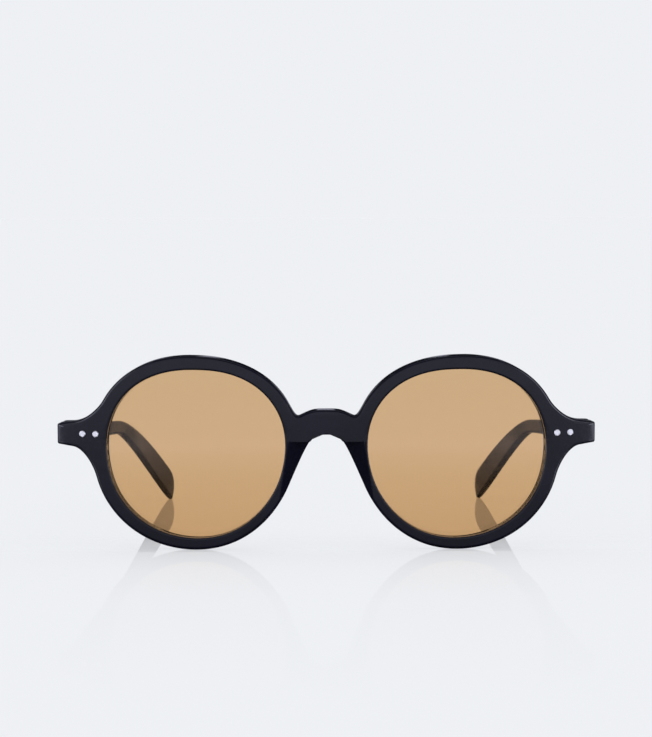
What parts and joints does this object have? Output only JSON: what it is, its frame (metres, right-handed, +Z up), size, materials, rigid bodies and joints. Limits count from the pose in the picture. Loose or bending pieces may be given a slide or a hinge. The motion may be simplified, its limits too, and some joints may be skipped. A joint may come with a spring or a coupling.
{
  "type": "round sunglasses",
  "caption": "Round sunglasses with a bent black acetate front, amber lenses, riveted barrel hinges and folding temples.",
  "frame": {"origin": "middle of the bounding box on the surface that the glasses stand on, with the temples open", "axes": "+Z up; the front faces -Y and the temples run back along +Y; +X is the wearer's left, so the right-hand pieces are at -X; X = 0 is the plane of symmetry"},
  "size_m": [0.1438, 0.1524, 0.0521],
  "materials": {
    "black_acetate": "polished cellulose acetate, near black with a blue cast",
    "amber_lens": "clear polished lens, evenly tinted amber brown",
    "hinge_metal": "tumbled nickel silver",
    "screw_steel": "turned stainless steel",
    "rivet_metal": "polished nickel silver, flush with the acetate",
    "core_metal": "plain drawn wire"
  },
  "bodies": {
    "front": {"front_frame": "black_acetate", "right_lens": "amber_lens", "left_lens": "amber_lens", "right_nose_pad": "black_acetate", "left_nose_pad": "black_acetate", "right_front_hinge": "hinge_metal", "left_front_hinge": "hinge_metal", "right_hinge_screw": "screw_steel", "left_hinge_screw": "screw_steel", "right_inner_front_rivet": "rivet_metal", "right_outer_front_rivet": "rivet_metal", "left_inner_front_rivet": "rivet_metal", "left_outer_front_rivet": "rivet_metal"},
    "right_arm": {"right_temple": "black_acetate", "right_temple_hinge": "hinge_metal", "right_core_wire": "core_metal", "right_fore_temple_rivet": "rivet_metal", "right_rear_temple_rivet": "rivet_metal"},
    "left_arm": {"left_temple": "black_acetate", "left_temple_hinge": "hinge_metal", "left_core_wire": "core_metal", "left_fore_temple_rivet": "rivet_metal", "left_rear_temple_rivet": "rivet_metal"}
  },
  "joints": [
    {"name": "right_temple_fold", "type": "hinge", "parent": "front", "child": "right_arm", "pos_m": [-0.06665, -0.0636, 0.0314], "axis": [0, 0.0785, -0.9969], "range_deg": [0, 77]},
    {"name": "left_temple_fold", "type": "hinge", "parent": "front", "child": "left_arm", "pos_m": [0.06665, -0.0636, 0.0314], "axis": [0, -0.0785, 0.9969], "range_deg": [0, 84]}
  ]
}
